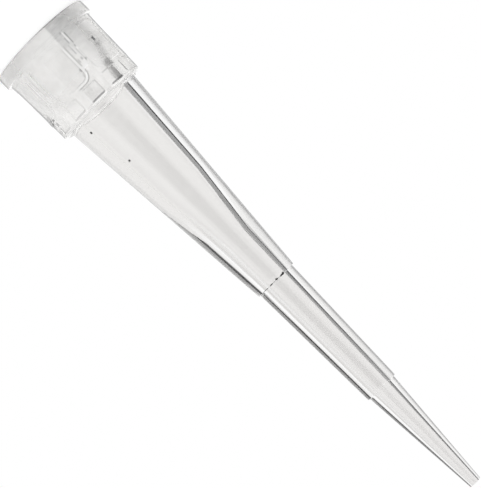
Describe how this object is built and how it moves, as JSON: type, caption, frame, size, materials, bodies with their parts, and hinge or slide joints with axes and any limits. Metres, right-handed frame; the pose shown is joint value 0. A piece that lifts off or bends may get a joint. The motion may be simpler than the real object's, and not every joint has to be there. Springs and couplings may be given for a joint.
{
  "type": "pipette tip",
  "caption": "Clear tapering micro-volume pipette tip with a rimmed, ribbed collar, a stepped barrel and a through bore from its socket to a fine open point.",
  "frame": {"origin": "centre of the collar's rim plane, where the mouth of the socket opens; the tip stands on this rim, point up", "axes": "+Z along the axis from the rim to the point; +X and +Y across it, with a rib shared by both rows of the collar on +X"},
  "size_m": [0.006, 0.006, 0.032],
  "materials": {
    "clear_polypropylene": "clear natural polypropylene, smooth moulded gloss with a faint milky haze"
  },
  "bodies": {
    "root": {"pipette_tip": "clear_polypropylene"}
  },
  "joints": []
}
